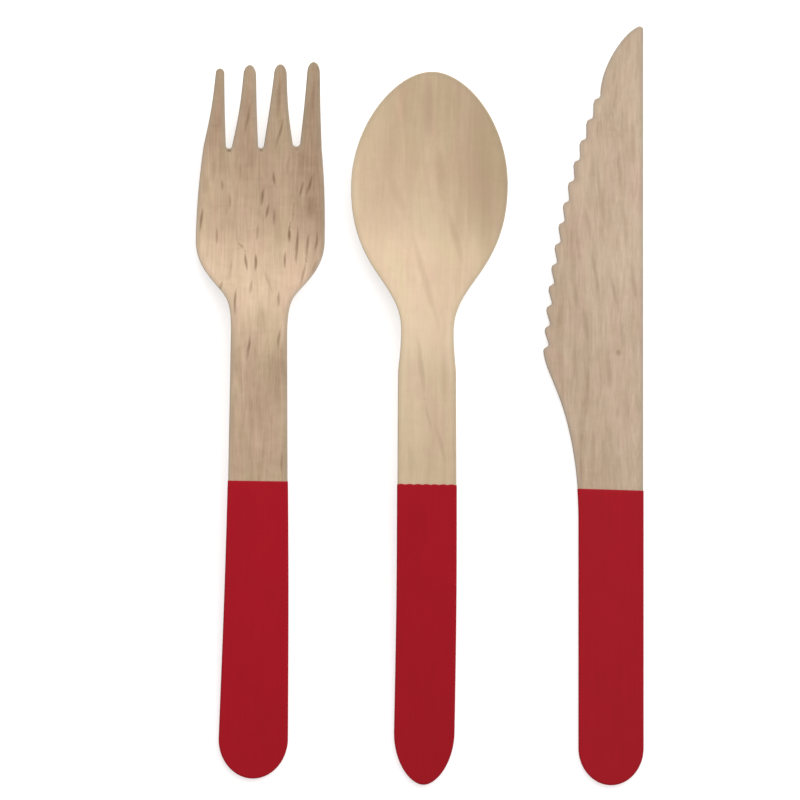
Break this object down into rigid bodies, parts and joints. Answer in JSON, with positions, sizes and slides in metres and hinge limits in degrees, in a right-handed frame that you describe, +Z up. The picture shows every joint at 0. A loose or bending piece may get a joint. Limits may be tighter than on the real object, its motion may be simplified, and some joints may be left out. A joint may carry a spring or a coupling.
{
  "type": "wooden cutlery set",
  "caption": "Pressed birch fork, spoon and serrated knife laid side by side, each with its handle dipped in red paint.",
  "frame": {"origin": "centre of the set's footprint, on the table that it lies on", "axes": "+Y along the utensils from their handles to their tips, +X from the fork to the knife, +Z up from the table"},
  "size_m": [0.0974, 0.165, 0.0087],
  "materials": {
    "fork_wood": "unfinished birch veneer with short brown flecks along the grain",
    "spoon_wood": "unfinished pale birch veneer with soft broad figure",
    "knife_wood": "unfinished greyish birch veneer with fine wavy grain",
    "red_paint": "satin dip paint, deep red, with the grain showing faintly"
  },
  "bodies": {
    "root": {"fork_blank": "fork_wood", "fork_coat": "red_paint", "spoon_blank": "spoon_wood", "spoon_coat": "red_paint", "knife_blank": "knife_wood", "knife_coat": "red_paint"}
  },
  "joints": []
}
